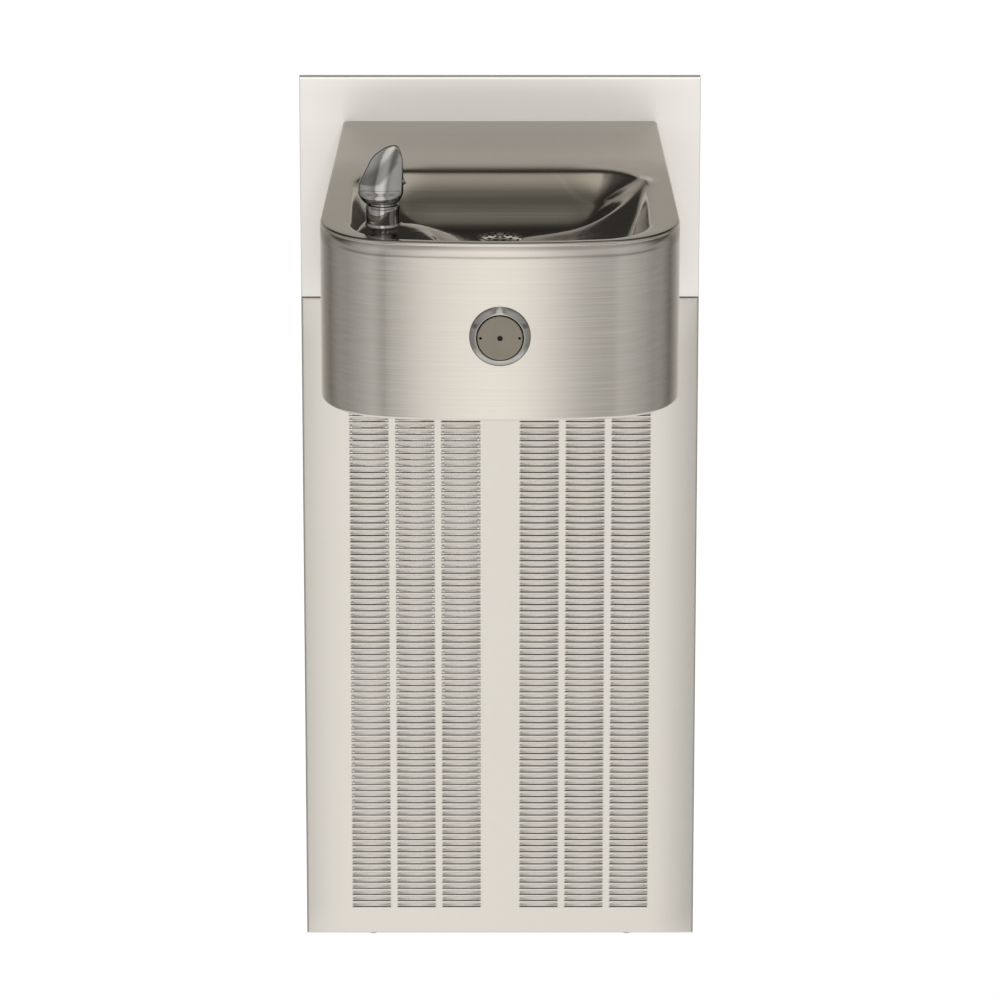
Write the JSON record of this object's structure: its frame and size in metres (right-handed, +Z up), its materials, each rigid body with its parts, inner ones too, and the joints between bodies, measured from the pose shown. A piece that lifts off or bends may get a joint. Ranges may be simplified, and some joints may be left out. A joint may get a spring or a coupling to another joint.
{
  "type": "drinking fountain",
  "caption": "Wall-hung chilled drinking fountain: stainless basin with hooded bubbler and front push button, flat back plate, louvered lower panel and chiller in a recessed frame.",
  "frame": {"origin": "on the face of the finished wall, on the vertical centre line, level with the bottom edge of the louvered panel", "axes": "+Z up, +X to the user's right, +Y into the wall; the user stands on the -Y side"},
  "size_m": [0.457, 0.7624, 1.0857],
  "materials": {
    "satin_stainless": "horizontal satin grain",
    "panel_stainless": "satin grain",
    "polished_chrome": "polished",
    "galvanised": "zinc coated",
    "zinc_fastener": "bright zinc",
    "stainless_fastener": "plain",
    "brass": "machined",
    "copper": "drawn copper tube",
    "rubber": "moulded",
    "black_enamel": "gloss enamel",
    "fin_aluminium": "plain fins",
    "grey_paint": "satin powder coat",
    "foam_jacket": "insulating jacket",
    "black_plastic": "moulded",
    "white_plastic": "moulded",
    "blue_plastic": "moulded",
    "poly_tube": "extruded tube"
  },
  "bodies": {
    "wall_unit": {"apron": "satin_stainless", "apron_flange": "satin_stainless", "basin_backing_plate": "galvanised", "basin_bolts": "zinc_fastener", "basin_nuts": "zinc_fastener", "basin_rails": "galvanised", "basin_spacers": "zinc_fastener", "basin_top": "satin_stainless", "bezel_gasket": "rubber", "bottom_cover_plate": "satin_stainless", "bubbler_base": "polished_chrome", "bubbler_gasket": "rubber", "bubbler_head": "polished_chrome", "bubbler_locknut": "brass", "bubbler_nozzle": "polished_chrome", "bubbler_tube": "poly_tube", "button_bezel": "polished_chrome", "cable_gland": "black_plastic", "chilled_water_tube": "copper", "chiller_tray": "galvanised", "compressor": "black_enamel", "compressor_mounts": "rubber", "condenser": "fin_aluminium", "control_box": "grey_paint", "control_box_cover": "grey_paint", "cooling_tank": "foam_jacket", "cover_screws": "stainless_fastener", "discharge_line": "copper", "drain_body": "polished_chrome", "drain_gasket": "rubber", "drain_locknut": "brass", "drain_tailpiece": "polished_chrome", "fan_motor": "grey_paint", "fan_shroud": "grey_paint", "filter_drier": "copper", "frame_screws": "zinc_fastener", "frame_uprights": "galvanised", "inlet_tube": "copper", "louvered_access_panel": "panel_stainless", "middle_rail": "galvanised", "panel_bracket": "galvanised", "relay_cover": "black_plastic", "return_spring": "stainless_fastener", "slip_nuts": "polished_chrome", "stop_valve": "brass", "strainer": "polished_chrome", "strainer_screw": "polished_chrome", "suction_line": "copper", "tank_shelf": "galvanised", "top_rail": "galvanised", "trap_bend": "polished_chrome", "upper_back_plate": "panel_stainless", "valve_body": "brass", "valve_locknut": "brass", "waste_arm": "polished_chrome"},
    "push_button": {"push_button": "polished_chrome", "valve_stem": "brass"},
    "fan_rotor": {"fan_rotor": "white_plastic"},
    "stop_valve_handle": {"stop_valve_handle": "blue_plastic"},
    "thermostat_knob": {"thermostat_knob": "black_plastic"}
  },
  "joints": [
    {"name": "button_press", "type": "slide", "parent": "wall_unit", "child": "push_button", "axis": [0, 1, 0], "range_m": [0, 0.003], "stiffness_N_per_m": 1200, "springref_m": -0.002, "deforming": ["return_spring"]},
    {"name": "fan_spin", "type": "hinge", "parent": "wall_unit", "child": "fan_rotor", "pos_m": [0.1075, 0.083, 0.185], "axis": [0, 1, 0], "continuous": true},
    {"name": "stop_valve_turn", "type": "hinge", "parent": "wall_unit", "child": "stop_valve_handle", "pos_m": [-0.15, 0.083, 0.59], "axis": [0, 1, 0], "range_deg": [0, 90]},
    {"name": "thermostat_turn", "type": "hinge", "parent": "wall_unit", "child": "thermostat_knob", "pos_m": [-0.167, 0.01, 0.49], "axis": [0, 1, 0], "range_deg": [0, 270]}
  ]
}
